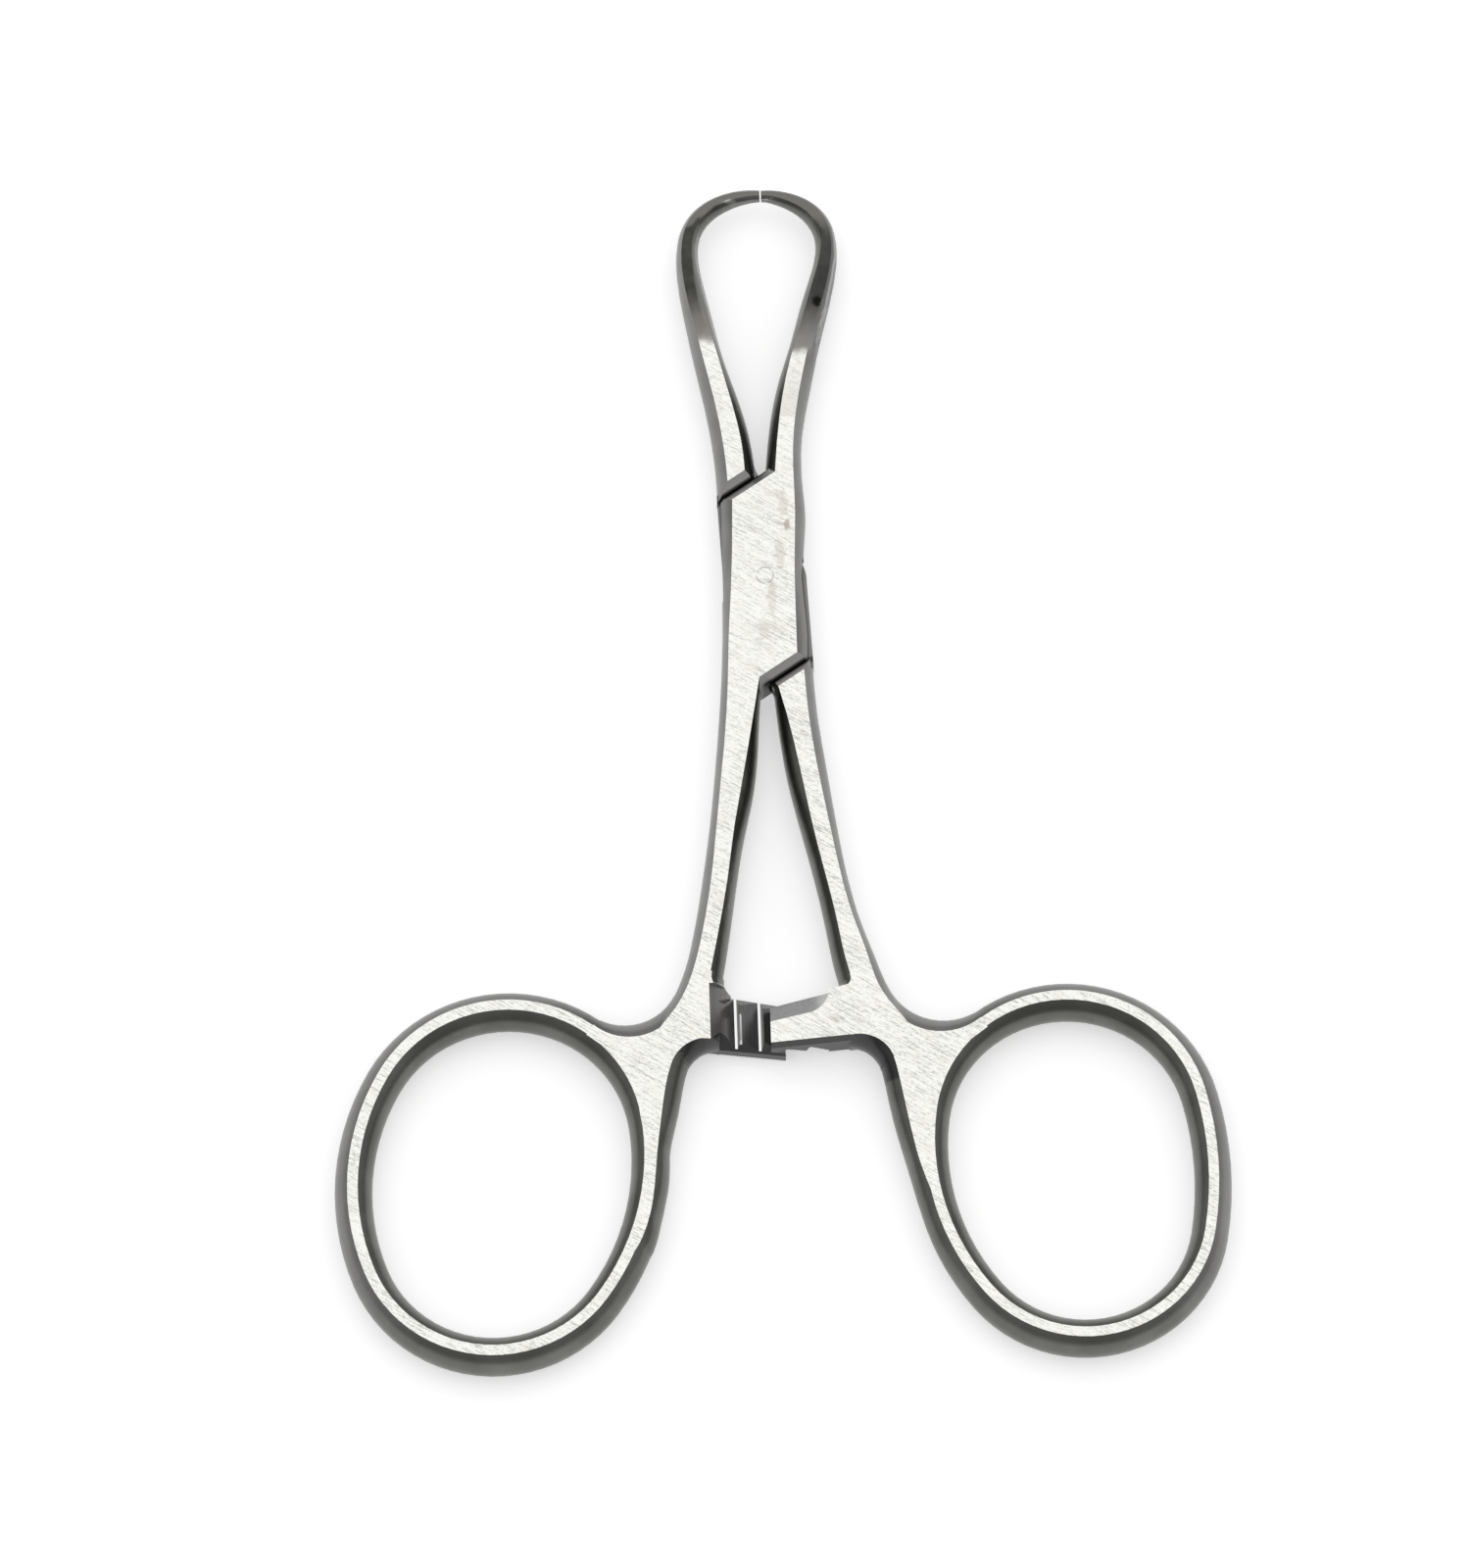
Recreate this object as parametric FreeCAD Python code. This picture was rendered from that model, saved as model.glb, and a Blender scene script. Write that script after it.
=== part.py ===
import FreeCAD, Part
import math
import os
from collections import namedtuple

# Towel forceps with finger rings, a box lock and a ratchet, closed and lying on its flat.
# Millimetres. The pivot stands on the origin, the jaws point along +Y, +Z is up.
# "Box half" is the forging with the slotted box, "tongue half" the one that passes through it.

# Plate and grinding
THICKNESS = 3.6
MIDDLE = THICKNESS / 2
GRINDING_STOCK = 0.08

# Pivot and box lock
PIN_RADIUS = 0.6
PIN_CLEARANCE = 0.04
TONGUE_THICKNESS = 1.2
TONGUE_CLEARANCE = 0.05
EYE_RADIUS = 3.0
SLOT_CLEARANCE = 0.10
OPENING_ANGLE = 50.0
OPENING_MARGIN = 2.0
TONGUE_FLARE = 2.5
TONGUE_ROOT = 1.6

# Shoulders, where cheeks and tongue half meet in a V groove
SHOULDER_REACH = 6.85
SHOULDER_ANGLE = 33.0
SHOULDER_GAP = 0.12
SHOULDER_CHAMFER = 0.62
SHOULDER_DEPTH = 0.60
INNER_CORNER = (-0.40, 8.60)

# Jaw tips
TIP_X = 0.62
TIP_GAP = 0.10

# Ratchet: two tapered arms that overlap in height, the left one below
TOOTH_PITCH = 1.68
TOOTH_DEPTH = 0.70
TOOTH_STEEP_RUN = 0.22
TOOTH_FLOOR = 0.18
TOOTH_COUNT = 2
TOOTH_CLEARANCE = 0.06
FIRST_CREST = -2.85
RAMP_TOP = -4.95
ARM_MIDDLE = -33.8

V = FreeCAD.Vector
UP = V(0, 0, 1)
FAR = 18.0

# A station of a bar: centre, half width, how far its two flanks are rounded, thickness.
# Rounding is a share of half the thickness, so that a flank stays an arc at any thickness.
Station = namedtuple("Station", "x y half outer inner thick")
# A finger ring: where its centreline starts and heads, its arcs as radius and degrees up to
# the last two, the radius of the last but one, and the bar's half width and rounding
Ring = namedtuple("Ring", "start heading arcs closing half flank")
# Corner between two bars: radius at mid height, rounding of each bar's flank
Corner = namedtuple("Corner", "radius flanks")
# One end of a ratchet arm: x, its upper and lower edge in plan, width of the bevel
ArmEnd = namedtuple("ArmEnd", "x top bottom bevel")


def full(x, y, half, outer, inner):
    return Station(x, y, half, outer, inner, THICKNESS)


LEFT_RING = Ring((-13.07, -53.62), 53.0, [(17.74, 44.7), (9.99, 141.8)], 16.74, 1.33, 0.53)
RIGHT_RING = Ring((29.44, -39.99), 103.5, [(9.69, 157.1), (17.07, 47.9)], 8.91, 1.31, 0.53)

LOWER_ARM = (ArmEnd(-6.90, -32.00, -34.80, 0.02), ArmEnd(-5.00, -31.00, -35.00, 0.05),
             ArmEnd(-4.30, -31.15, -35.08, 0.80), ArmEnd(0.32, -32.10, -35.70, 0.75))
UPPER_ARM = (ArmEnd(7.20, -32.20, -35.05, 0.20), ArmEnd(5.40, -31.10, -35.15, 0.20),
             ArmEnd(-0.70, -32.55, -35.60, 0.20))

# Flat that a wheel ground along the upper arm's edge: where it runs out, turn and slope
BEVEL_END = (2.10, -33.25)
BEVEL_TURN = 12.0
BEVEL_SLOPE = 34.0
WHEEL_RADIUS = 2.0

# Where leg and ring start to run together, then the corners of the forks: shank to ring,
# arm to leg, shank to arm
FORK_AT = -39.3
LEFT_CORNERS = [Corner(3.90, (0.44, 0.53)), Corner(2.70, (0.06, 0.58)), Corner(1.10, (0.47, 0.06))]
RIGHT_CORNERS = [Corner(4.30, (0.44, 0.53)), Corner(2.60, (0.11, 0.56)), Corner(0.70, (0.47, 0.06))]

LEFT_SHANK = [
    full(-1.75, 9.2, 1.50, 0.61, 0.44),
    full(-1.70, 6.5, 1.49, 0.58, 0.44),
    full(-1.66, 3.0, 1.48, 0.49, 0.44),
    full(-1.66, -2.0, 1.48, 0.33, 0.33),
    full(-1.88, -7.0, 1.48, 0.28, 0.08),
    full(-2.16, -10.0, 1.44, 0.31, 0.19),
    full(-2.57, -14.4, 1.48, 0.31, 0.44),
    full(-3.56, -20.3, 1.25, 0.34, 0.38),
    full(-4.57, -26.2, 1.27, 0.40, 0.40),
    full(-5.25, -29.4, 1.38, 0.41, 0.47),
    full(-6.25, -32.3, 1.60, 0.44, 0.50),
    full(-7.95, -35.3, 1.72, 0.28, 0.56),
    full(-8.99, -39.2, 1.70, 0.25, 0.62),
    full(-9.28, -41.5, 1.45, 0.44, 0.51),
    full(-9.42, -43.7, 1.30, 0.47, 0.50),
    full(-9.65, -46.0, 1.25, 0.47, 0.48),
    full(-9.97, -48.0, 1.09, 0.42, 0.44),
    full(-10.95, -50.3, 1.05, 0.44, 0.44),
]

RIGHT_SHANK = [
    full(1.55, -4.0, 1.46, 0.44, 0.22),
    full(1.74, -7.0, 1.50, 0.38, 0.08),
    full(1.95, -10.0, 1.46, 0.38, 0.33),
    full(2.47, -14.4, 1.47, 0.40, 0.54),
    full(3.50, -20.3, 1.25, 0.31, 0.43),
    full(4.70, -26.2, 1.28, 0.31, 0.46),
    full(5.45, -29.2, 1.52, 0.34, 0.47),
    full(6.42, -32.0, 1.62, 0.42, 0.50),
    full(8.20, -35.2, 1.72, 0.28, 0.53),
    full(9.25, -39.4, 1.78, 0.19, 0.56),
    full(9.55, -42.0, 1.54, 0.28, 0.52),
    full(9.95, -44.3, 1.36, 0.42, 0.47),
    full(10.25, -46.1, 1.22, 0.42, 0.53),
    full(10.72, -48.0, 1.10, 0.42, 0.56),
]

LEFT_JAW = [
    full(-1.88, 5.5, 1.45, 0.44, 0.42),
    full(-1.89, 8.7, 1.43, 0.44, 0.42),
    full(-2.15, 11.1, 1.39, 0.42, 0.40),
    full(-2.92, 14.8, 1.21, 0.39, 0.33),
    full(-3.73, 18.2, 1.05, 0.34, 0.25),
    Station(-4.02, 19.7, 1.02, 0.30, 0.26, 3.44),
    Station(-4.50, 22.3, 0.96, 0.26, 0.28, 3.05),
    Station(-4.87, 25.6, 0.80, 0.28, 0.29, 2.45),
    Station(-4.30, 28.1, 0.72, 0.30, 0.32, 2.00),
    Station(-2.85, 29.55, 0.64, 0.33, 0.35, 1.60),
    Station(-1.10, 30.25, 0.54, 0.37, 0.40, 1.20),
    Station(1.00, 30.38, 0.40, 0.40, 0.40, 0.80),
]

RIGHT_JAW = [
    full(1.80, -9.5, 1.50, 0.53, 0.33),
    full(1.60, -5.5, 1.48, 0.53, 0.33),
    full(1.50, -1.5, 1.42, 0.44, 0.33),
    full(1.50, 2.5, 1.38, 0.36, 0.39),
    full(1.58, 7.5, 1.38, 0.36, 0.42),
    full(1.80, 11.1, 1.22, 0.32, 0.40),
    full(2.50, 14.8, 1.20, 0.37, 0.34),
    full(3.42, 18.2, 1.04, 0.34, 0.25),
    Station(3.82, 19.7, 1.02, 0.30, 0.26, 3.44),
    Station(4.55, 22.3, 0.97, 0.26, 0.28, 3.05),
    Station(5.27, 25.6, 0.79, 0.28, 0.29, 2.45),
    Station(4.86, 28.0, 0.74, 0.30, 0.32, 2.00),
    Station(3.70, 29.35, 0.66, 0.33, 0.35, 1.60),
    Station(2.20, 30.12, 0.54, 0.37, 0.40, 1.20),
    Station(0.20, 30.38, 0.40, 0.40, 0.40, 0.80),
]


def polar(radius, degrees, z=0.0):
    angle = math.radians(degrees)
    return V(radius * math.cos(angle), radius * math.sin(angle), z)


def prism(points, low, high):
    """Upright prism over a closed plan outline."""
    corners = [V(p[0], p[1], low) for p in points]
    face = Part.Face(Part.makePolygon(corners + corners[:1]))
    return face.extrude(V(0, 0, high - low))


def join(shapes):
    """One solid from several that overlap, joined one after another."""
    body = shapes[0]
    for shape in shapes[1:]:
        body = body.fuse(shape)
    return body


def flank(half, share, height):
    """Distance from the centre at which a rounded flank reaches the stock above the flat."""
    radius = height * (1 + share ** 2) / (2 * share)
    rise = height + GRINDING_STOCK
    return half - radius + math.sqrt(radius ** 2 - rise ** 2)


def bar_section(station, direction, outward):
    """Section of a bar: flat above and below, both flanks rounded."""
    across = UP.cross(direction).normalize() * outward
    centre = V(station.x, station.y, MIDDLE)
    height = station.thick / 2
    rise = UP * (height + GRINDING_STOCK)
    outer = across * flank(station.half, station.outer, height)
    inner = across * -flank(station.half, station.inner, height)
    belly = across * station.half
    corners = [centre + outer + rise, centre + outer - rise]
    corners += [centre + inner - rise, centre + inner + rise]
    return Part.Wire([
        Part.Arc(corners[0], centre + belly, corners[1]).toShape(),
        Part.makeLine(corners[1], corners[2]),
        Part.Arc(corners[2], centre - belly, corners[3]).toShape(),
        Part.makeLine(corners[3], corners[0]),
    ])


def spine_of(stations):
    curve = Part.BSplineCurve()
    curve.interpolate([V(s.x, s.y, MIDDLE) for s in stations])
    return curve


def bar(stations, outward):
    """Bar lofted along its stations. outward is 1 where the outer flank lies to the left."""
    spine = spine_of(stations)
    sections = []
    for station in stations:
        place = spine.parameter(V(station.x, station.y, MIDDLE))
        sections.append(bar_section(station, spine.tangent(place)[0], outward))
    return Part.makeLoft(sections, True, False)


def ring_arcs(ring):
    """Centre, start, heading and sweep of each arc of a ring. The last two close the loop."""
    home = V(ring.start[0], ring.start[1], MIDDLE)
    point, heading = home, ring.heading
    arcs = []
    for radius, sweep in ring.arcs:
        centre = point + polar(radius, heading + 90)
        arcs.append((centre, point, heading, sweep))
        heading += sweep
        point = centre + polar(radius, heading - 90)
    inward = polar(1, ring.heading + 90)
    centre = point + polar(ring.closing, heading + 90)
    offset = home - centre
    last = (ring.closing ** 2 - offset.Length ** 2) / (2 * (offset.dot(inward) + ring.closing))
    way = (home + inward * last - centre) * (ring.closing - last)
    turned = math.degrees(math.atan2(way.y, way.x)) + 90
    arcs.append((centre, point, heading, (turned - heading) % 360))
    point = centre + polar(ring.closing, turned - 90)
    arcs.append((home + inward * last, point, turned, (ring.heading - turned) % 360))
    return arcs


def ring_line(ring):
    edges = []
    for centre, point, heading, sweep in ring_arcs(ring):
        arm = point - centre
        middle = centre + polar(arm.Length, heading - 90 + sweep / 2)
        end = centre + polar(arm.Length, heading - 90 + sweep)
        edges.append(Part.Arc(point, middle, end).toShape())
    return Part.Wire(edges)


def finger_ring(ring):
    """Oval ring of four arcs, with the same ground section all round."""
    pieces = []
    for centre, point, heading, sweep in ring_arcs(ring):
        station = full(point.x, point.y, ring.half, ring.flank, ring.flank)
        section = Part.Face(bar_section(station, polar(1, heading), 1))
        pieces.append(section.revolve(centre, UP, sweep))
    return join(pieces)


def nearest(line, point):
    return line.distToShape(Part.Vertex(point))[1][0][0]


def fillet_centre(lines, reaches, start):
    """Plan point that lies at the given distance from each of two centrelines."""
    point = start
    for _ in range(60):
        for line, reach in zip(lines, reaches):
            foot = nearest(line, point)
            point = foot + (point - foot).normalize() * reach
    return point


def draw_in(share, rise):
    """How far a rounded flank lies behind its middle, at a height above or below it."""
    radius = MIDDLE * (1 + share ** 2) / (2 * share)
    return radius - math.sqrt(radius ** 2 - rise ** 2)


def corner_shift(ways, offsets):
    """Plan vector with the given component along each of two directions."""
    first, second = ways
    det = first.x * second.y - first.y * second.x
    return V((offsets[0] * second.y - offsets[1] * first.y) / det,
             (first.x * offsets[1] - second.x * offsets[0]) / det, 0)


def spool(centre, radius, ways, flanks):
    """Cutter that rounds a corner and touches both rounded flanks at every height."""
    top = MIDDLE + GRINDING_STOCK / 2
    circles = []
    for rise in (-top, -top / 2, 0, top / 2, top):
        shift = corner_shift(ways, [draw_in(share, rise) for share in flanks])
        circle = Part.makeCircle(radius, centre + shift + UP * rise, UP)
        circles.append(Part.Wire(circle))
    return Part.makeLoft(circles, True, False)


def web(lines, halves, corner, start, inside):
    """Fill of the corner between two bars, rounded at its radius with the bars' flanks."""
    reaches = [half + corner.radius for half in halves]
    centre = fillet_centre(lines, reaches, start)
    feet = [nearest(line, centre) for line in lines]
    ways = [(foot - centre).normalize() for foot in feet]
    middle = corner_shift(ways, [share * MIDDLE / 2 for share in corner.flanks])
    ends = [foot + middle for foot in feet]
    between = inside(*feet)
    fill = prism([centre + middle, ends[0]] + between + [ends[1]], 0, THICKNESS)
    return fill.cut(spool(centre, corner.radius, ways, corner.flanks))


def grind(shape):
    """Both faces of the forging ground to the finished thickness."""
    slab = Part.makeBox(200, 200, THICKNESS, V(-100, -100, 0))
    return shape.common(slab)


def shoulder_cut(keep_inside, turn):
    """Everything beyond one shoulder line, or everything within it, with its chamfers."""
    sign = -1 if keep_inside else 1
    edge = SHOULDER_GAP / 2
    profile = [
        (edge + SHOULDER_CHAMFER, -1), (edge + SHOULDER_CHAMFER, 0),
        (edge, SHOULDER_DEPTH), (edge, THICKNESS - SHOULDER_DEPTH),
        (edge + SHOULDER_CHAMFER, THICKNESS), (edge + SHOULDER_CHAMFER, THICKNESS + 1),
        (-FAR, THICKNESS + 1), (-FAR, -1),
    ]
    corners = [V(-FAR, SHOULDER_REACH + sign * s, z) for s, z in profile]
    cutter = Part.Face(Part.makePolygon(corners + corners[:1])).extrude(V(2 * FAR, 0, 0))
    cutter.rotate(V(0, 0, 0), UP, SHOULDER_ANGLE + turn)
    return cutter


def tangent_angle(radius):
    """Direction from the pivot to where the tongue's inner side leaves the eye."""
    distance = math.hypot(*INNER_CORNER)
    corner = math.degrees(math.atan2(INNER_CORNER[1], INNER_CORNER[0]))
    return corner - math.degrees(math.acos(radius / distance))


def tongue():
    """Thin eye and arms of the tongue half, between the two shoulders."""
    low = MIDDLE - TONGUE_THICKNESS / 2
    high = MIDDLE + TONGUE_THICKNESS / 2
    outer_start = polar(EYE_RADIUS, 180 - TONGUE_FLARE)
    outer_way = polar(1, 90 + TONGUE_FLARE)
    inner_start = polar(EYE_RADIUS, tangent_angle(EYE_RADIUS))
    inner_corner = V(INNER_CORNER[0], INNER_CORNER[1], 0)
    root = polar(TONGUE_ROOT, 90 + SHOULDER_ANGLE / 2)
    outer_corner = outer_start + outer_way * (SHOULDER_REACH * 0.96)
    arm = prism([V(0, 0, 0), inner_start, inner_corner, inner_corner + root,
                 outer_corner + polar(TONGUE_ROOT, 90 - SHOULDER_ANGLE),
                 outer_corner, outer_start], low, high)
    opposite = arm.copy()
    opposite.rotate(V(0, 0, 0), UP, 180)
    eye = Part.makeCylinder(EYE_RADIUS, high - low, V(0, 0, low))
    return join([eye, arm, opposite])


def slot():
    """Space that the tongue sweeps between the cheeks, from closed to fully open."""
    radius = EYE_RADIUS + SLOT_CLEARANCE
    half = TONGUE_THICKNESS / 2 + TONGUE_CLEARANCE
    low, high = MIDDLE - half, MIDDLE + half
    closed = tangent_angle(EYE_RADIUS)
    opened = 180 - TONGUE_FLARE + OPENING_ANGLE + OPENING_MARGIN
    fan = prism([
        V(0, 0, 0), polar(radius, closed), polar(radius, closed) + polar(FAR, closed + 90),
        polar(2 * FAR, 135),
        polar(radius, opened) + polar(FAR, opened - 90), polar(radius, opened),
    ], low, high)
    opposite = fan.copy()
    opposite.rotate(V(0, 0, 0), UP, 180)
    eye = Part.makeCylinder(radius, high - low, V(0, 0, low))
    return join([eye, fan, opposite])


def arm_section(end, profile):
    """Cross section of a ratchet arm. The profile gives share of width, inset and height."""
    width = end.top - end.bottom
    corners = [V(end.x, end.bottom + share * width + inset, z) for share, inset, z in profile]
    return Part.makePolygon(corners + corners[:1])


VALLEY = MIDDLE - TOOTH_DEPTH / 2
CREST = MIDDLE + TOOTH_DEPTH / 2


def lower_teeth():
    """Cutter above the saw teeth of the lower arm, ramp first."""
    profile = [(RAMP_TOP, THICKNESS + 1), (RAMP_TOP, THICKNESS)]
    for tooth in range(TOOTH_COUNT):
        crest = FIRST_CREST + tooth * TOOTH_PITCH
        profile += [(crest - TOOTH_STEEP_RUN - TOOTH_FLOOR, VALLEY),
                    (crest - TOOTH_STEEP_RUN, VALLEY), (crest, CREST)]
    end = crest + TOOTH_PITCH - TOOTH_STEEP_RUN - TOOTH_FLOOR
    profile += [(end, VALLEY), (end + 1, VALLEY), (end + 1, THICKNESS + 1)]
    return tooth_prism(profile)


def upper_teeth():
    """Cutter below the saw teeth of the upper arm, parallel to the lower ones."""
    slope_run = TOOTH_PITCH - TOOTH_STEEP_RUN - TOOTH_FLOOR
    last_crest = FIRST_CREST + (TOOTH_COUNT - 1) * TOOTH_PITCH
    lift = TOOTH_CLEARANCE
    profile = [(last_crest - 1, -1), (last_crest - 1, CREST + lift), (last_crest, CREST + lift)]
    for tooth in range(TOOTH_COUNT):
        foot = last_crest + slope_run + tooth * TOOTH_PITCH
        profile += [(foot, VALLEY + lift), (foot + TOOTH_STEEP_RUN, CREST + lift),
                    (foot + TOOTH_STEEP_RUN + TOOTH_FLOOR, CREST + lift)]
    profile += [(profile[-1][0] + 1.2, VALLEY - 0.3), (profile[-1][0] + 1.2, -1)]
    return tooth_prism(profile)


def tooth_prism(profile):
    corners = [V(x, ARM_MIDDLE - 3, z) for x, z in profile]
    face = Part.Face(Part.makePolygon(corners + corners[:1]))
    return face.extrude(V(0, 6, 0))


def lower_arm():
    """Lower arm of the ratchet: bevelled above on both edges, teeth up."""
    sections = []
    for end in LOWER_ARM:
        profile = [(0, 0.2, 0), (0, 0, 0.3), (0, 0, VALLEY - 0.2), (0, end.bevel, CREST + 0.2),
                   (0, end.bevel, THICKNESS), (1, -end.bevel, THICKNESS),
                   (1, -end.bevel, CREST + 0.2), (1, 0, VALLEY), (1, 0, 0.3), (1, -0.2, 0)]
        sections.append(arm_section(end, profile))
    return Part.makeLoft(sections, True, True).cut(lower_teeth())


def bevel_cut():
    """Path of the wheel that ground the upper arm's edge, round where it runs out."""
    depth = THICKNESS
    wheel = Part.makeCylinder(WHEEL_RADIUS, depth)
    path = Part.makeBox(FAR, 2 * WHEEL_RADIUS, depth, V(-FAR, -WHEEL_RADIUS, 0))
    cutter = wheel.fuse(path)
    cutter.translate(V(0, WHEEL_RADIUS, 0))
    cutter.rotate(V(0, 0, 0), V(1, 0, 0), -BEVEL_SLOPE)
    cutter.rotate(V(0, 0, 0), UP, BEVEL_TURN)
    cutter.translate(V(BEVEL_END[0], BEVEL_END[1], THICKNESS))
    return cutter


def upper_arm():
    """Upper arm: teeth down, its edge towards the pivot ground to a bevel."""
    sections = []
    for end in UPPER_ARM:
        profile = [(0, 0, VALLEY - 0.6), (0, 0, THICKNESS - 0.8), (0, end.bevel, THICKNESS),
                   (1, 0, THICKNESS), (1, 0, VALLEY - 0.6)]
        sections.append(arm_section(end, profile))
    return Part.makeLoft(sections, True, True).cut([upper_teeth(), bevel_cut()])


def box_core():
    """Full-thickness middle of the box, between the two side members."""
    return prism([(-1.6, -8.6), (1.2, -8.6), (1.6, 8.6), (-1.2, 8.6)], 0, THICKNESS)


def tip_cut(side):
    """Space past the plane where the two jaw tips meet, seen from the given side."""
    face = TIP_X - side * TIP_GAP / 2
    block = Part.makeBox(FAR, 6, THICKNESS + 2, V(0, 28, -1))
    block.translate(V(face if side > 0 else face - FAR, 0, 0))
    return block


def edge_line(arm, side):
    """Upper or lower edge of a ratchet arm in plan, past its root."""
    ends = [V(end.x, getattr(end, side), MIDDLE) for end in arm[-2:]]
    return Part.makeLine(*ends)


def half_at(stations, y):
    """Half width of a bar at a height in plan, between its stations."""
    for above, below in zip(stations, stations[1:]):
        if above.y >= y >= below.y:
            share = (above.y - y) / (above.y - below.y)
            return above.half + share * (below.half - above.half)


def fork_webs(shank, ring, arm, corners):
    """Rounded corners where shank, ring and ratchet arm run together."""
    leg, loop = spine_of(shank).toShape(), ring_line(ring)
    below, above = edge_line(arm, "bottom"), edge_line(arm, "top")
    free = arm[-1]
    root = nearest(leg, V(arm[0].x, (arm[0].top + arm[0].bottom) / 2, MIDDLE))
    station = min(shank, key=lambda s: abs(s.y - FORK_AT))
    fork = nearest(loop, V(station.x, station.y, MIDDLE))
    high, middle, low = [half_at(shank, y) for y in (arm[1].top, arm[0].top, FORK_AT)]
    to_ring, under_arm, over_arm = corners

    def along_ring(on_leg, on_ring):
        return [fork, nearest(loop, (fork + on_ring) / 2)]

    def at_root(on_first, on_second):
        return [root]

    start = nearest(loop, V(free.x, free.top, MIDDLE)) + UP.cross(V(1, 0, 0)) * to_ring.radius
    return [
        web((leg, loop), (middle, ring.half), to_ring, start, along_ring),
        web((below, leg), (0, low), under_arm,
            V(free.x, free.bottom - under_arm.radius, MIDDLE), at_root),
        web((leg, above), (high, 0), over_arm,
            V(free.x, free.top + over_arm.radius, MIDDLE), at_root),
    ]


def box_half():
    """Forging with the slotted box, the left ring and shank, and the right jaw."""
    shank = bar(LEFT_SHANK, -1).cut(shoulder_cut(True, 0))
    jaw = bar(RIGHT_JAW, -1).cut(shoulder_cut(True, 180))
    core = box_core().cut([shoulder_cut(True, 0), shoulder_cut(True, 180)])
    webs = fork_webs(LEFT_SHANK, LEFT_RING, LOWER_ARM, LEFT_CORNERS)
    body = join([shank] + webs + [finger_ring(LEFT_RING)]).cut(lower_teeth())
    body = join([body, lower_arm(), jaw, core])
    bore = Part.makeCylinder(PIN_RADIUS, THICKNESS)
    return grind(body).cut([slot(), bore, tip_cut(-1)])


def tongue_half():
    """Forging with the thin tongue, the right ring and shank, and the left jaw."""
    shank = bar(RIGHT_SHANK, 1).cut(shoulder_cut(False, 180))
    jaw = bar(LEFT_JAW, 1).cut(shoulder_cut(False, 0))
    webs = fork_webs(RIGHT_SHANK, RIGHT_RING, UPPER_ARM, RIGHT_CORNERS)
    body = join([shank] + webs + [finger_ring(RIGHT_RING), upper_arm(), jaw, tongue()])
    bore = Part.makeCylinder(PIN_RADIUS + PIN_CLEARANCE, THICKNESS)
    return grind(body).cut([bore, tip_cut(1)])


def pivot_pin():
    return Part.makeCylinder(PIN_RADIUS, THICKNESS)


PARTS = {"box_half": box_half, "tongue_half": tongue_half, "pivot_pin": pivot_pin}

os.makedirs("parts", exist_ok=True)
for name, make in PARTS.items():
    shape = make()
    print(name, shape.ShapeType, len(shape.Solids), shape.isValid(), round(shape.Volume, 2))
    shape = shape.Solids[0] if len(shape.Solids) == 1 else shape
    shape.exportStep("parts/" + name + ".step")
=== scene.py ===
import bpy
import math
from collections import namedtuple
from mathutils import Matrix, Vector


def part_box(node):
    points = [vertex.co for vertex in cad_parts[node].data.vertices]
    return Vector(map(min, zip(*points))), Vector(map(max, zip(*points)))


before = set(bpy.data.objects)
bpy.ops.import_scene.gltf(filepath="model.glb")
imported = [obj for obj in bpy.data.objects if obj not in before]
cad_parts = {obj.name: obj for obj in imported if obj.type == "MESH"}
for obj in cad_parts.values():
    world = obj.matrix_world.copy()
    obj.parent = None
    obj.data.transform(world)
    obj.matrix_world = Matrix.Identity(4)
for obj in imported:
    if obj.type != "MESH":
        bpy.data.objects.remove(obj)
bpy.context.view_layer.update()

MM = 0.001

# Camera: how far it leans back from straight above, its roll, its distance and what it frames
CAMERA_LEAN = math.radians(20.0)
CAMERA_ROLL = math.radians(1.9)
CAMERA_DISTANCE = 0.700
CAMERA_TARGET = Vector((-2.68, -14.58, 0.0)) * MM
VIEW_WIDTH = 105.38 * MM
SENSOR = 36.0

# Floor and light, in metres and watts: the floor is lifted to white for the camera and for
# reflections, and the room's light rises with height and is dimmer on the viewer's side
FLOOR_HALF = 1.5
FLOOR_LIFT = 0.46
PAPER = 0.86
ROOM_LOW = 0.62
ROOM_HIGH = 0.80
FRONT_DIMMING = 0.42
ROOM_RISE = (0.0, 0.9)
ROOM_FRONT = (-0.75, -0.15)
ROOM_TOP = (0.55, 0.90)
LAMP_PLACE = Vector((0.0, 0.25, 0.75))
LAMP_AIM = Vector((0.0, -0.01, 0.0))
LAMP_SIZE = (0.9, 0.7)
LAMP_POWER = 0.55

# Sizes and places on the forceps, in millimetres
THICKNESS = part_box("box_half")[1].z / MM
PIN_RADIUS = (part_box("pivot_pin")[1].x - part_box("pivot_pin")[0].x) / 2 / MM
BOX_MIDDLE = -0.5
SHOULDER_REACH = 6.85
SHOULDER_ANGLE = math.radians(33.0)
GROOVE_HALF_WIDTH = (0.12, 0.27)
HOOKS_FROM = 18.3
HOOK_FADE = 4.4
RIGHT_HOOK_SOONER = 1.1
HOOK_CENTRE = 24.6
LEFT_LOOP = (-20.1, -44.6)
RIGHT_LOOP = (20.1, -44.9)
LOOP_REACH = 11.5
FIRST_RAMP_END = -3.4

# Stretches over which a look sets in or fades, in millimetres. With four numbers it sets in over
# the first two and fades over the last two. First those measured outwards from a middle.
GAP = (7.5, 9.5)
CHAMFERS = (4.5, 5.0, 9.4, 10.0)
CROWN_RIM = (5.18, 5.46)

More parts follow.
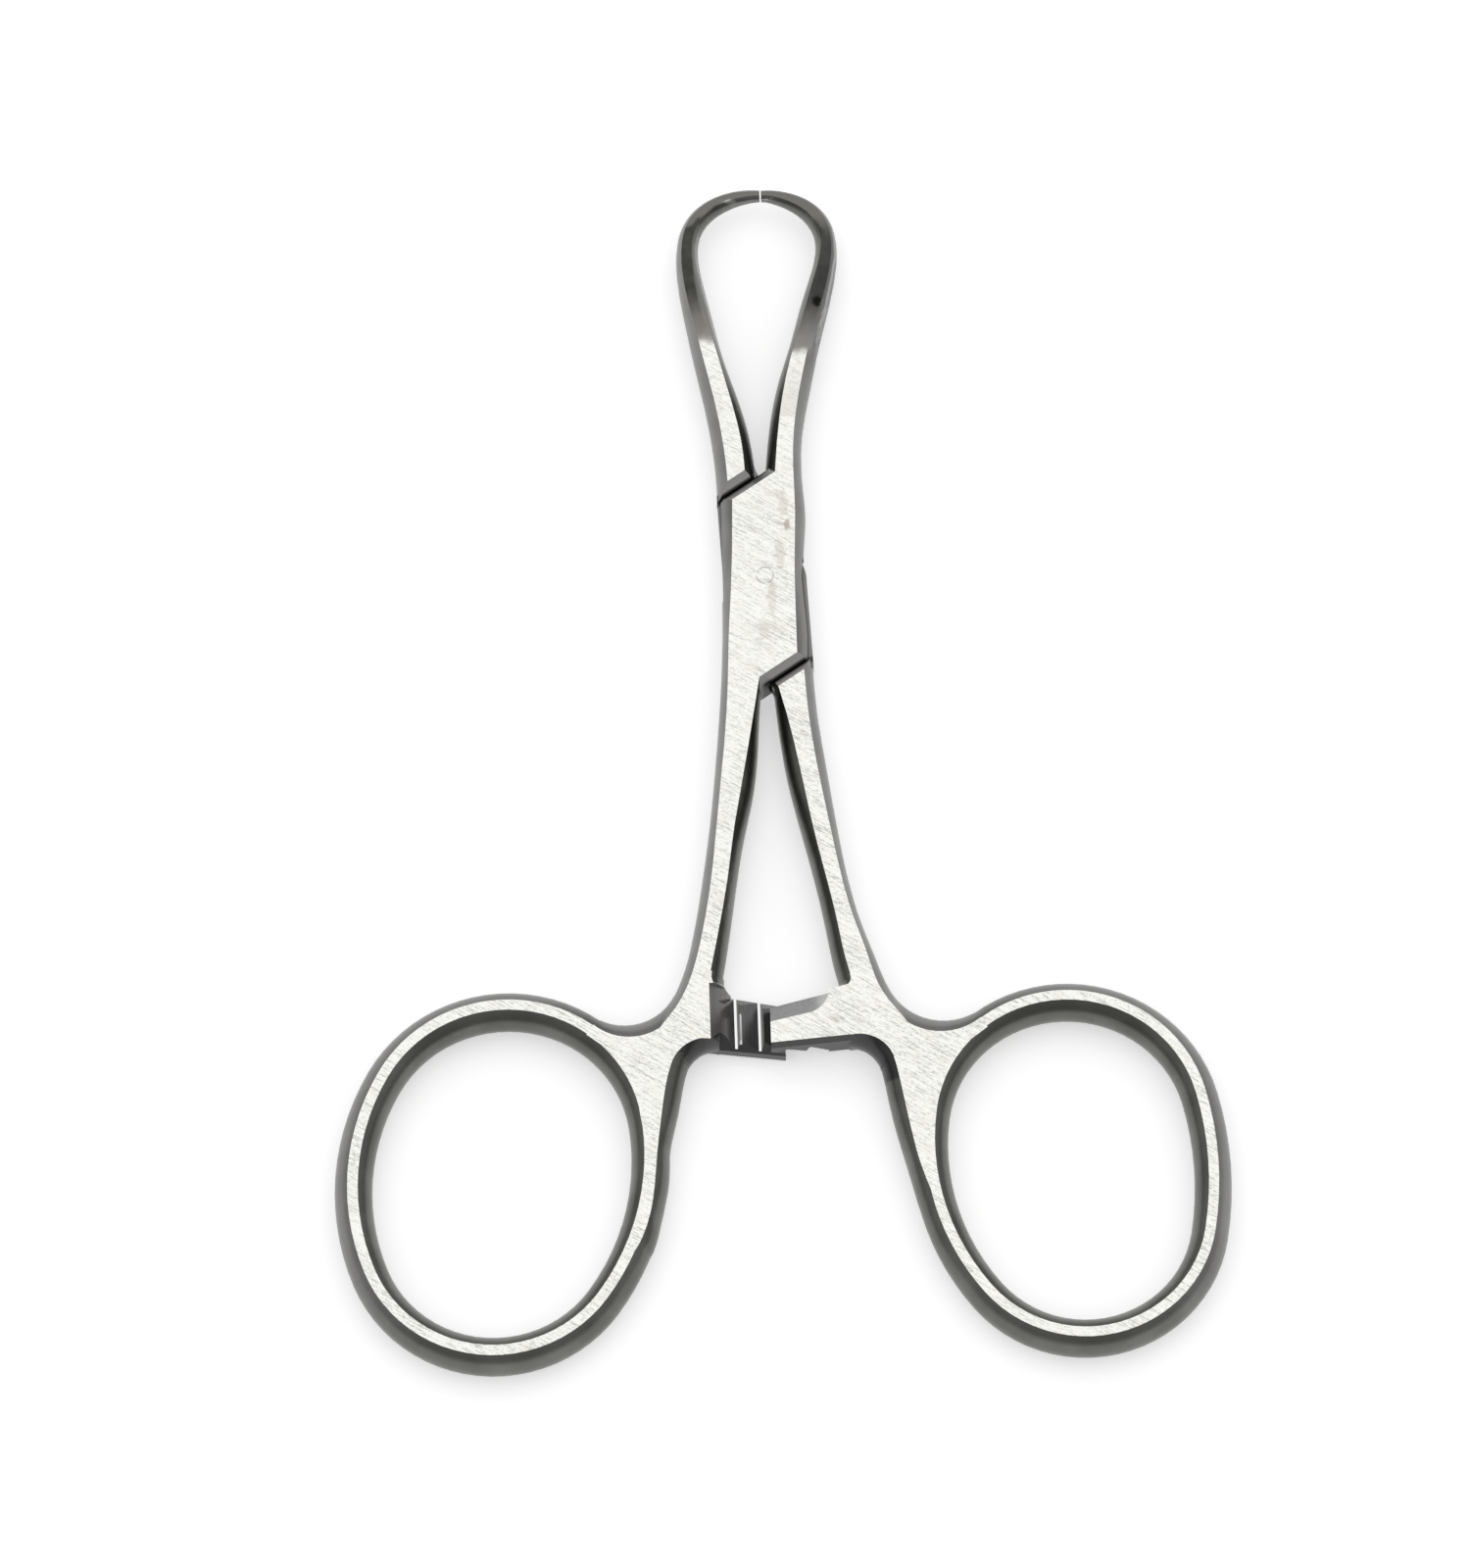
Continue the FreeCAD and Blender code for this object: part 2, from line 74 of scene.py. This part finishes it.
# Stretches along the forceps
RINGS = (-35.0, -33.0)
LIP_STRETCH = (-34.4, -33.9)
RAMP_CORNER_STRETCH = (-33.8, -33.0)
TONED_STRETCH = (12.22, 12.30, 13.5, 17.0)
DARK_JAW_WALL = (15.0, 18.0)
FLANK_GLINT = (17.0, 19.5, 26.5, 28.0)
CROWN_EDGE_STRETCH = (25.3, 27.2)
CROWN_RIM_STRETCH = (26.2, 28.4)
TIP_GLINT = (28.0, 29.5)

# One stretch across the forceps and one in height
WHEEL_RUN_OUT = (2.7, 4.1)
UPPER_ARM_HEIGHT = (2.0, 2.2)

# Inner edge of the left hook's crown: a parabola, the place of its tip and how much it bends
CROWN_EDGE_TIP = (-4.5, 25.5)
CROWN_EDGE_BEND = 0.0231

# How far a surface looks up, from nothing on a wall to one where it lies level
LEVEL = (0.985, 0.996)
CHAMFER_SLOPE = (0.52, 0.62, 0.80, 0.88)
GLINT_SLOPE = (0.20, 0.26, 0.34, 0.42)
CROWN_SLOPE = (0.76, 0.96)
RAMP_SLOPE = (0.30, 0.50)
WHEEL_SLOPE = (0.76, 0.80, 0.86, 0.90)

# Fineness of the noises, in waves a millimetre
CLOUDS = 0.16
WARM_PATCHES = 0.9
FLECKS = 4.2
PITS = 7.0
WALL_CLOUDS = 0.35
HOOK_CLOUDS = 0.40
HOOK_WANDER = 1.2
RIM_WAVE = 1.3
WHEEL_WAVE = 1.8
STAIN_RAGS = 2.6
PIN_BREAKS = 1.6
TUMBLING = 2.6

# Areas in plan, in millimetres: left and right, then near and far
RATCHET = ((-5.3, 0.45), (-36.2, -30.7))
TOOTH_GLINT = ((-2.93, -2.73), (-34.9, -32.7))
UPPER_TEETH = ((0.6, 8.8), (-38.5, -34.8))
WHEEL_MARK = ((-0.8, 4.2), (-34.2, -31.3))
UNDER_ARMS = ((-8.5, 9.5), (-39.0, -32.5))

# Strokes left by tools, in millimetres: length and width, with their directions
LONG_STROKE = (1.9, 0.11)
SHORT_STROKE = (0.55, 0.085)
MILLED_STROKE = (3.0, 0.16)
WHEEL_STROKE = (1.6, 0.20)
GRIND_ANGLE = math.radians(-33.0)
SECOND_GRIND_ANGLE = GRIND_ANGLE + 0.14
MILLED_ANGLE = math.radians(90)
WHEEL_ANGLE = math.radians(78)


# Colours

def grey(value, warmth=0.0):
    return (value * (1 + warmth), value, value * (1 - warmth), 1.0)


def silver(value):
    """Slightly warm grey of the ground faces."""
    return (value, value * 0.997, value * 0.945, 1.0)


BRIGHT = silver(0.99)
SMOOTH_STROKE = silver(0.76)
ROUGH_STROKE = silver(0.56)
PIT = silver(0.42)
WARM_FLECK = (0.86, 0.82, 0.73, 1.0)
TONED = (0.74, 0.71, 0.66, 1.0)
PIN_LINE = grey(0.42, 0.02)

OUTER_WALL = (grey(0.182, 0.015), grey(0.212, 0.015))
# Painted shade for side walls that face inwards and for the rings' near-side walls
INNER_WALL_SHADE = ((0.120, 0.122, 0.108, 1.0), (0.155, 0.156, 0.142, 1.0))
CHAMFER = grey(0.50, 0.012)
# Painted shade on the right jaw's right-facing wall
RIGHT_JAW_WALL_SHADE = grey(0.135, 0.012)
# Painted shade under the ratchet arms
UNDERSIDE_SHADE = grey(0.055, 0.01)

HOOK_START = (0.27, 0.256, 0.236, 1.0)
# Painted dark reflection and painted highlights of the hooks
HOOK_DARK_REFLECTION = ((0.045, 0.046, 0.042, 1.0), (0.080, 0.080, 0.074, 1.0))
HOOK_RIM_HIGHLIGHT = (0.175, 0.171, 0.156, 1.0)
HOOK_INSIDE_HIGHLIGHT = (0.165, 0.164, 0.155, 1.0)
HOOK_GLINT = grey(0.72, 0.01)

MILLED = (grey(0.12, 0.012), grey(0.22, 0.012))
FIRST_RAMP = (grey(0.34, 0.012), grey(0.50, 0.012))
RAMP_CORNER = grey(0.75, 0.012)
ARM_SHADE = grey(0.060, 0.01)
# Painted glint on the first tooth of the ratchet
TOOTH_HIGHLIGHT = grey(0.95)
LAND = grey(0.92)
WHEEL_FACET = (grey(0.42), grey(0.66))
WHEEL_END = silver(0.97)

BROWN = (0.36, 0.29, 0.22, 1.0)
# Brown tint with a painted warm highlight, on the left hook
BROWN_SHEEN = (0.21, 0.18, 0.155, 1.0)
# Painted highlight at the hook tips
PAINTED_HIGHLIGHT = (0.62, 0.61, 0.58, 1.0)
# Painted shade: a shadow line in the V grooves and dark bands on the right hook
PAINTED_SHADE = (0.035, 0.035, 0.032, 1.0)
BLACK = (0.010, 0.010, 0.010, 1.0)

# A mark on the front: centre and radii in plan, in millimetres, colour and how much it covers
Mark = namedtuple("Mark", "centre radii colour cover")

BOX_STAINS = [
    Mark((1.70, 3.85), (0.28, 0.55), BROWN, 0.66),
    Mark((1.50, 5.50), (0.45, 1.20), BROWN, 0.26),
    Mark((1.15, 1.60), (0.42, 1.40), BROWN, 0.28),
    Mark((0.80, 6.30), (0.90, 0.35), BROWN, 0.20),
    Mark((0.45, -1.60), (0.40, 1.60), BROWN, 0.25),
    Mark((-0.25, -4.20), (0.55, 1.00), BROWN, 0.20),
]
RIGHT_HOOK_MARKS = [
    Mark((4.45, 21.30), (0.38, 0.52), BLACK, 1.0),
    # Painted shade: dark bands on the right hook
    Mark((4.60, 27.10), (0.45, 0.90), PAINTED_SHADE, 0.60),
    Mark((2.60, 28.60), (1.30, 0.40), PAINTED_SHADE, 0.55),
    # Painted highlight at the right hook's tip
    Mark((0.95, 29.90), (0.80, 0.20), PAINTED_HIGHLIGHT, 0.85),
]
LEFT_FORK_STAINS = [
    Mark((-10.40, -36.20), (0.70, 0.50), BROWN, 0.10),
]
UPPER_ARM_STAINS = [
    Mark((3.85, -33.70), (0.45, 0.34), BROWN, 0.20),
    Mark((5.60, -34.20), (0.30, 0.22), BROWN, 0.14),
]
LEFT_JAW_MARKS = [
    Mark((-3.00, 13.20), (0.50, 1.40), BROWN, 0.10),
    # Brown tint with a painted warm highlight, near the left hook's tip and at its start
    Mark((-3.10, 28.70), (1.10, 0.55), BROWN_SHEEN, 0.60),
    # Painted highlight at the left hook's tip
    Mark((-1.60, 29.75), (0.60, 0.20), PAINTED_HIGHLIGHT, 0.75),
    Mark((-4.10, 19.60), (0.60, 0.90), BROWN_SHEEN, 0.50),
]


# Shader helpers

def new_material(name):
    material = bpy.data.materials.new(name)
    material.use_nodes = True
    material.node_tree.nodes.clear()
    return material


class Graph:
    """Short way to add and link the nodes of one material or world."""

    def __init__(self, tree):
        self.tree = tree

    def add(self, kind, inputs=None, **settings):
        node = self.tree.nodes.new(kind)
        for key, value in settings.items():
            setattr(node, key, value)
        for key, value in (inputs or {}).items():
            if isinstance(value, bpy.types.NodeSocket):
                self.tree.links.new(value, node.inputs[key])
            else:
                node.inputs[key].default_value = value
        return node

    def math(self, operation, first, second=0.0, third=0.0):
        node = self.add("ShaderNodeMath", {0: first, 1: second, 2: third}, operation=operation)
        return node.outputs[0]

    def chain(self, operation, values):
        result = values[0]
        for value in values[1:]:
            result = self.math(operation, result, value)
        return result

    def times(self, *values):
        return self.chain("MULTIPLY", values)

    def total(self, *values):
        return self.chain("ADD", values)

    def most(self, *values):
        return self.chain("MAXIMUM", values)

    def size(self, value):
        """The value without its sign."""
        return self.math("ABSOLUTE", value)

    def less(self, first, second):
        return self.math("SUBTRACT", first, second)

    def inverse(self, mask):
        return self.less(1.0, mask)

    def vector(self, operation, first, second=(0, 0, 0)):
        node = self.add("ShaderNodeVectorMath", {0: first, 1: second}, operation=operation)
        return node.outputs[0]

    def length(self, vector):
        node = self.add("ShaderNodeVectorMath", {0: vector}, operation="LENGTH")
        return node.outputs["Value"]

    def split(self, vector):
        return self.add("ShaderNodeSeparateXYZ", {0: vector}).outputs

    def step(self, value, low, high, start=0.0, end=1.0):
        """Value mapped from low..high to start..end with a smooth step, and held outside."""
        node = self.add("ShaderNodeMapRange", {"Value": value, "From Min": low, "From Max": high,
                                               "To Min": start, "To Max": end},
                        interpolation_type="SMOOTHSTEP")
        return node.outputs["Result"]

    def fall(self, value, low, high):
        """One up to low and nothing from high on."""
        return self.step(value, low, high, 1.0, 0.0)

    def hill(self, value, foot, top, edge, end):
        """One from top to edge, and nothing before foot and after end."""
        return self.times(self.step(value, foot, top), self.fall(value, edge, end))

    def within(self, value, low, high, soft):
        """One between low and high, with a soft rim inside each."""
        return self.hill(value, low, low + soft, high - soft, high)

    def mix(self, factor, first, second):
        node = self.add("ShaderNodeMix", {0: factor, 6: first, 7: second}, data_type="RGBA")
        return node.outputs[2]

    def noise(self, where, scale, detail=2.0, rough=0.5):
        node = self.add("ShaderNodeTexNoise", {"Vector": where, "Scale": scale, "Detail": detail,
                                               "Roughness": rough})
        return node.outputs["Fac"]

    def waver(self, where, reach, scale, detail=2.0, rough=0.5):
        """Noise about zero that strays up to half of reach to either side."""
        return self.times(self.less(self.noise(where, scale, detail, rough), 0.5), reach)

    def streaks(self, where, turn, stroke, detail=2.0):
        """Noise drawn out to strokes of a given length and width, along a turned direction."""
        length, width = stroke
        along = self.add("ShaderNodeMapping", {"Vector": where, "Rotation": (0, 0, turn),
                                               "Scale": (length, width, width)},
                         vector_type="TEXTURE")
        return self.noise(along.outputs[0], 1.0, detail, 0.6)


class Surface:
    """Where a point of the forceps lies, in millimetres, and which way its surface faces."""

    def __init__(self, g):
        self.g = g
        metres = g.add("ShaderNodeTexCoord").outputs["Object"]
        self.where = g.add("ShaderNodeVectorMath", {0: metres, "Scale": 1 / MM},
                           operation="SCALE").outputs[0]
        self.x, self.y, self.z = g.split(self.where)
        true_normal = g.add("ShaderNodeNewGeometry").outputs["True Normal"]
        turned = g.add("ShaderNodeVectorTransform", {0: true_normal}, vector_type="NORMAL",
                       convert_from="WORLD", convert_to="OBJECT")
        self.normal = turned.outputs[0]
        self.facing = g.split(self.normal)
        self.up = g.size(self.facing[2])

    def level(self):
        """One where the surface lies level, facing up or down."""
        return self.g.step(self.up, *LEVEL)

    def at_face(self):
        """One at the height of the front and back faces."""
        off_middle = self.g.size(self.g.less(self.z, THICKNESS / 2))
        return self.g.step(off_middle, THICKNESS / 2 - 0.06, THICKNESS / 2 - 0.02)

    def in_plan(self, area, soft=0.05):
        (left, right), (near, far) = area
        return self.g.times(self.g.within(self.x, left, right, soft),
                            self.g.within(self.y, near, far, soft))

    def in_loop(self, centre):
        """One on the inner walls of the finger ring round a centre."""
        g = self.g
        arm = g.vector("SUBTRACT", (*centre, THICKNESS / 2), self.where)
        flat = g.vector("MULTIPLY", arm, (1, 1, 0))
        facing = g.add("ShaderNodeVectorMath", {0: flat, 1: self.normal},
                       operation="DOT_PRODUCT").outputs["Value"]
        near = g.fall(g.length(flat), LOOP_REACH, LOOP_REACH + 3)
        return g.times(g.step(facing, 0.5, 4.0), near)

    def to_middle(self):
        """One on side walls that face the gap between the two halves."""
        g = self.g
        inward = g.times(g.math("SIGN", self.x), self.facing[0], -1.0)
        from_box = g.size(g.less(self.y, BOX_MIDDLE))
        return g.times(g.step(inward, 0.15, 0.55), g.step(from_box, *GAP))


# Steel

def ground_face(g, s):
    """Colour of the ground faces, with flecks, pits and soft clouds, and the strokes alone."""
    long_strokes = g.streaks(s.where, GRIND_ANGLE, LONG_STROKE, 3.0)
    short_strokes = g.streaks(s.where, SECOND_GRIND_ANGLE, SHORT_STROKE)
    flecks = g.noise(s.where, FLECKS, 3.0, 0.7)
    lines = g.total(g.times(long_strokes, 0.42), g.times(short_strokes, 0.34),
                    g.times(flecks, 0.24))
    cloud = g.noise(s.where, CLOUDS, 3.0)
    worn = g.times(g.step(cloud, 0.38, 0.60), g.step(s.y, 0.0, 8.0, 1.0, 0.10))
    smooth = g.mix(g.step(lines, 0.37, 0.53), SMOOTH_STROKE, BRIGHT)
    rough = g.mix(g.step(lines, 0.39, 0.54), ROUGH_STROKE, BRIGHT)
    colour = g.mix(g.math("MULTIPLY_ADD", worn, 0.65, 0.30), smooth, rough)
    pits = g.noise(s.where, PITS, 2.0, 0.6)
    colour = g.mix(g.step(pits, 0.29, 0.38, 0.60, 0.0), colour, PIT)
    warm = g.noise(s.where, WARM_PATCHES)
    colour = g.mix(g.step(warm, 0.56, 0.72, 0.0, 0.35), colour, WARM_FLECK)
    return colour, lines


def groove_line(g, s):
    """One in the two V grooves at the box, where a shadow line is painted: the far one on the
    left, the near one on the right.
    """
    across = g.times(s.x, -math.sin(SHOULDER_ANGLE))
    across = g.math("MULTIPLY_ADD", s.y, math.cos(SHOULDER_ANGLE), across)
    off_groove = g.size(g.less(g.size(across), SHOULDER_REACH))
    own_side = g.fall(g.times(s.x, g.math("SIGN", s.y)), 0.2, 0.6)
    return g.times(g.step(off_groove, *GROOVE_HALF_WIDTH, 0.92, 0.0), own_side)


def side_wall(g, s):
    """Colour of the tumbled side walls: mid grey, with painted shade on walls that face inwards,
    on the rings' near-side walls, on the right jaw's right-facing wall and under the arms, and a
    painted shadow line in the V grooves.
    """
    cloud = g.step(g.noise(s.where, WALL_CLOUDS, 3.0), 0.3, 0.7)
    # Painted shade: walls facing the gap or the inside of a ring, and the rings' walls facing the
    # near side, take a darker colour
    rings_near_side = g.times(g.fall(s.facing[1], -0.75, -0.15), g.fall(s.y, *RINGS))
    inward_shade = g.most(s.to_middle(), s.in_loop(LEFT_LOOP), s.in_loop(RIGHT_LOOP),
                       g.times(rings_near_side, 0.85))
    colour = g.mix(inward_shade, g.mix(cloud, *OUTER_WALL), g.mix(cloud, *INNER_WALL_SHADE))

    chamfer = g.times(g.hill(s.up, *CHAMFER_SLOPE), g.hill(g.size(s.y), *CHAMFERS),
                      g.step(g.size(s.facing[1]), 0.35, 0.5))
    colour = g.mix(chamfer, colour, CHAMFER)
    # Painted shade on the right jaw's right-facing wall
    right_jaw = g.times(g.step(s.y, *DARK_JAW_WALL), g.step(s.x, 0.0, 0.5),
                        g.step(s.facing[0], 0.2, 0.5))
    colour = g.mix(right_jaw, colour, RIGHT_JAW_WALL_SHADE)
    # Painted shade on near-facing walls under the ratchet arms
    under = g.times(g.fall(s.facing[1], -0.60, -0.25), s.in_plan(UNDER_ARMS, 0.8))
    colour = g.mix(under, colour, UNDERSIDE_SHADE)
    # Painted shadow line along the V grooves
    return g.mix(groove_line(g, s), colour, PAINTED_SHADE)


def hook_face(g, s, along):
    """Colour of the hooks' upper side: a painted dark reflection, with painted highlights along
    the outside near the tips and along the left hook's inner edge, fading in from a brown-grey
    tone where the hooks begin.
    """
    cloud = g.step(g.noise(s.where, HOOK_CLOUDS, 3.0, 0.6), 0.3, 0.7)
    # Painted dark reflection over the hooks' upper side
    colour = g.mix(cloud, *HOOK_DARK_REFLECTION)

    arm = g.vector("SUBTRACT", s.where, (0, HOOK_CENTRE, 0))
    out = g.length(g.vector("MULTIPLY", arm, (0.93, 1, 0)))
    out = g.total(out, g.waver(s.where, 0.60, RIM_WAVE, 3.0, 0.6))
    rim = g.times(g.step(out, *CROWN_RIM), g.step(s.y, *CROWN_RIM_STRETCH))
    # Painted highlight along the outside near the tips
    colour = g.mix(rim, colour, HOOK_RIM_HIGHLIGHT)

    edge_x, edge_y = CROWN_EDGE_TIP
    drop = g.less(edge_y, s.y)
    edge = g.math("MULTIPLY_ADD", g.times(drop, drop), CROWN_EDGE_BEND, edge_x)
    inside = g.times(g.step(g.less(s.x, edge), -0.08, 0.12), g.fall(s.x, -0.2, 0.2),
                     g.fall(s.y, *CROWN_EDGE_STRETCH))
    # Painted highlight along the left hook's inner edge
    colour = g.mix(inside, colour, HOOK_INSIDE_HIGHLIGHT)
    return g.mix(g.step(along, HOOKS_FROM, HOOKS_FROM + HOOK_FADE), HOOK_START, colour)


def hook_glints(g, s):
    """Light lines on the hooks: along their right flanks, and along the far side at the tips."""
    line = g.hill(s.up, *GLINT_SLOPE)
    flank = g.times(g.step(s.facing[0], 0.25, 0.5), g.hill(s.y, *FLANK_GLINT), 0.28)
    tip = g.times(g.step(s.facing[1], 0.2, 0.5), g.fall(g.size(s.x), 0.6, 3.4),
                  g.step(s.y, *TIP_GLINT), 0.45)
    return g.times(line, g.most(flank, tip))


def crown(g, s, along):
    """One on the hooks' rounded upper side, further down the outer flank on the right hook."""
    lean = g.math("MULTIPLY_ADD", s.facing[0], g.step(s.x, -0.2, 0.2, 0.05, 0.45), s.up)
    return g.times(g.step(along, HOOKS_FROM - 0.6, HOOKS_FROM + 0.8), g.step(lean, *CROWN_SLOPE))


def ratchet(g, s, colour):
    """Adds the milled ramps and bright lands of the ratchet arms, with painted shade on their
    undersides and a painted glint on the first tooth.
    """
    area = s.in_plan(RATCHET)
    below_face = g.inverse(s.at_face())
    sloping = g.step(s.up, *RAMP_SLOPE)
    streaks = g.streaks(s.where, MILLED_ANGLE, MILLED_STROKE)
    on_first = g.fall(s.x, FIRST_RAMP_END, FIRST_RAMP_END + 0.2)
    milled = g.mix(on_first, g.mix(streaks, *MILLED), g.mix(streaks, *FIRST_RAMP))
    colour = g.mix(g.times(area, below_face, sloping), colour, milled)
    corner = g.times(area, g.fall(s.x, FIRST_RAMP_END, FIRST_RAMP_END + 0.4),
                     g.step(s.y, *RAMP_CORNER_STRETCH), g.inverse(sloping))
    colour = g.mix(corner, colour, RAMP_CORNER)
    # Painted shade on the arms' near-facing walls and under the upper teeth
    lip = g.times(area, g.fall(s.facing[1], -0.50, -0.20), g.fall(s.y, *LIP_STRETCH))
    beneath = g.times(s.in_plan(UPPER_TEETH, 0.3), g.inverse(s.level()))
    colour = g.mix(g.most(lip, beneath), colour, ARM_SHADE)
    # Painted glint on the first tooth's steep face
    spark = g.times(s.in_plan(TOOTH_GLINT, 0.03), below_face, 0.9)
    colour = g.mix(spark, colour, TOOTH_HIGHLIGHT)
    return g.mix(g.times(area, below_face, s.level()), colour, LAND)


def wheel_facet(g, s, colour):
    """Adds the facet that a wheel ground along the upper arm, which runs out to the right."""
    touched = g.times(s.in_plan(WHEEL_MARK), g.hill(s.up, *WHEEL_SLOPE),
                      g.step(s.z, *UPPER_ARM_HEIGHT))
    run_out = g.math("MULTIPLY_ADD", g.noise(s.where, WHEEL_WAVE, 3.0, 0.6), 1.2, s.x)
    ripple = g.streaks(s.where, WHEEL_ANGLE, WHEEL_STROKE)
    facet = g.mix(g.step(run_out, *WHEEL_RUN_OUT), g.mix(ripple, *WHEEL_FACET), WHEEL_END)
    return g.mix(touched, colour, facet)


def toned_stretch(g, s, ground, colour):
    """Adds the duller stretch of the right jaw's ground face, which begins with a clear line."""
    toned = g.times(g.hill(s.y, *TONED_STRETCH), g.step(s.x, 1.0, 1.2), ground, 0.55)
    return g.mix(toned, colour, TONED)


def marked(g, s, colour, marks):
    """Adds stains, spots, painted highlights and painted shade to the front, each with a ragged
    rim.
    """
    ragged = g.waver(s.where, 2.0, STAIN_RAGS, 5.0, 0.75)
    front = g.step(s.facing[2], 0.35, 0.60)
    for mark in marks:
        offset = g.vector("SUBTRACT", s.where, (*mark.centre, THICKNESS))
        share = g.length(g.vector("DIVIDE", offset, (*mark.radii, 4.0)))
        cover = g.step(g.total(share, ragged), 0.45, 1.15, mark.cover, 0.0)
        colour = g.mix(g.times(cover, front), colour, mark.colour)
    return colour


def pin_line(g, s, ground, colour):
    """Adds the faint broken circle of the rivet, which is ground flush with the face."""
    out = g.length(g.vector("MULTIPLY", s.where, (1, 1, 0)))
    broken = g.step(g.noise(s.where, PIN_BREAKS), 0.42, 0.55, 0.10, 0.62)
    around = g.within(out, PIN_RADIUS - 0.08, PIN_RADIUS + 0.10, 0.05)
    return g.mix(g.times(around, broken, ground), colour, PIN_LINE)


def steel(name, marks):
    """Forged steel: faces ground satin, side walls tumbled with painted shade, hooks given a
    painted dark reflection and painted highlights.
    """
    material = new_material(name)
    g = Graph(material.node_tree)
    s = Surface(g)
    bright, lines = ground_face(g, s)

    sooner = g.step(s.x, 0.0, 0.2, 0.0, RIGHT_HOOK_SOONER)
    along = g.total(s.y, g.waver(s.where, 0.9, HOOK_WANDER), sooner)
    before_hooks = g.fall(along, HOOKS_FROM - 0.5, HOOKS_FROM + 0.6)
    ground = g.times(s.level(), s.at_face(), before_hooks)

    colour = g.mix(crown(g, s, along), side_wall(g, s), hook_face(g, s, along))
    colour = g.mix(hook_glints(g, s), colour, HOOK_GLINT)
    colour = ratchet(g, s, colour)
    colour = wheel_facet(g, s, colour)
    colour = g.mix(ground, colour, bright)
    colour = toned_stretch(g, s, ground, colour)
    colour = marked(g, s, colour, marks)
    colour = pin_line(g, s, ground, colour)

    satin = g.math("MULTIPLY_ADD", lines, 0.10, 0.36)
    roughness = g.add("ShaderNodeMix", {0: ground, 2: 0.32, 3: satin}, data_type="FLOAT")
    relief = g.times(g.less(lines, 0.5), ground)
    tumble = g.times(g.noise(s.where, TUMBLING), 0.22)
    bump = g.add("ShaderNodeBump", {"Strength": 0.30, "Distance": 0.02 * MM,
                                    "Height": g.total(relief, tumble)})
    shader = g.add("ShaderNodeBsdfPrincipled", {
        "Base Color": colour, "Metallic": 1.0, "Roughness": roughness.outputs[0],
        "Normal": bump.outputs[0]})
    g.add("ShaderNodeOutputMaterial", {"Surface": shader.outputs[0]})
    return material


def dress(name, material):
    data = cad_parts[name].data
    data.materials.clear()
    data.materials.append(material)


# Stage

def floor():
    """Pale floor that the camera and reflections see as white, with the object's shadow."""
    half = FLOOR_HALF
    mesh = bpy.data.meshes.new("floor")
    corners = [(-half, -half, 0), (half, -half, 0), (half, half, 0), (-half, half, 0)]
    mesh.from_pydata(corners, [], [(0, 1, 2, 3)])
    plane = bpy.data.objects.new("floor", mesh)
    bpy.context.scene.collection.objects.link(plane)
    material = new_material("floor_white")
    g = Graph(material.node_tree)
    path = g.add("ShaderNodeLightPath").outputs
    seen = g.most(path["Is Camera Ray"], path["Is Glossy Ray"], path["Is Transmission Ray"])
    paper = g.add("ShaderNodeBsdfDiffuse", {"Color": grey(PAPER)})
    glow = g.add("ShaderNodeEmission", {"Color": grey(1.0), "Strength": g.times(seen, FLOOR_LIFT)})
    both = g.add("ShaderNodeAddShader", {0: paper.outputs[0], 1: glow.outputs[0]})
    g.add("ShaderNodeOutputMaterial", {"Surface": both.outputs[0]})
    plane.data.materials.append(material)


def room():
    """Soft light from all round, dimmer low down and on the viewer's side."""
    world = bpy.data.worlds.new("studio")
    bpy.context.scene.world = world
    world.use_nodes = True
    world.node_tree.nodes.clear()
    g = Graph(world.node_tree)
    way = g.split(g.add("ShaderNodeTexCoord").outputs["Generated"])
    height = g.step(way[2], *ROOM_RISE, ROOM_LOW, ROOM_HIGH)
    front = g.times(g.fall(way[1], *ROOM_FRONT), g.fall(way[2], *ROOM_TOP))
    strength = g.times(height, g.math("MULTIPLY_ADD", front, -FRONT_DIMMING, 1.0))
    background = g.add("ShaderNodeBackground", {"Color": grey(1.0), "Strength": strength})
    g.add("ShaderNodeOutputWorld", {"Surface": background.outputs[0]})


def lamp():
    """One wide lamp overhead, a little behind the forceps."""
    data = bpy.data.lights.new("overhead", "AREA")
    data.shape = "RECTANGLE"
    data.size, data.size_y = LAMP_SIZE
    data.energy = LAMP_POWER
    light = bpy.data.objects.new("overhead", data)
    light.location = LAMP_PLACE
    light.rotation_euler = (LAMP_AIM - LAMP_PLACE).to_track_quat("-Z", "Y").to_euler()
    bpy.context.scene.collection.objects.link(light)


def camera():
    data = bpy.data.cameras.new("camera")
    data.sensor_fit = "HORIZONTAL"
    data.sensor_width = SENSOR
    data.lens = SENSOR * CAMERA_DISTANCE / VIEW_WIDTH
    data.clip_start = 0.01
    view = bpy.data.objects.new("camera", data)
    back = Vector((0, -math.sin(CAMERA_LEAN), math.cos(CAMERA_LEAN)))
    level = Vector((1, 0, 0))
    rise = back.cross(level)
    right = level * math.cos(CAMERA_ROLL) - rise * math.sin(CAMERA_ROLL)
    up = level * math.sin(CAMERA_ROLL) + rise * math.cos(CAMERA_ROLL)
    turn = Matrix((right, up, back)).transposed().to_4x4()
    view.matrix_world = Matrix.Translation(CAMERA_TARGET + back * CAMERA_DISTANCE) @ turn
    bpy.context.scene.collection.objects.link(view)
    bpy.context.scene.camera = view


dress("box_half", steel("box_half_steel", BOX_STAINS + RIGHT_HOOK_MARKS + LEFT_FORK_STAINS))
dress("pivot_pin", steel("pivot_pin_steel", []))
dress("tongue_half", steel("tongue_half_steel", UPPER_ARM_STAINS + LEFT_JAW_MARKS))

floor()
room()
lamp()
camera()
bpy.context.scene.view_settings.view_transform = "Standard"
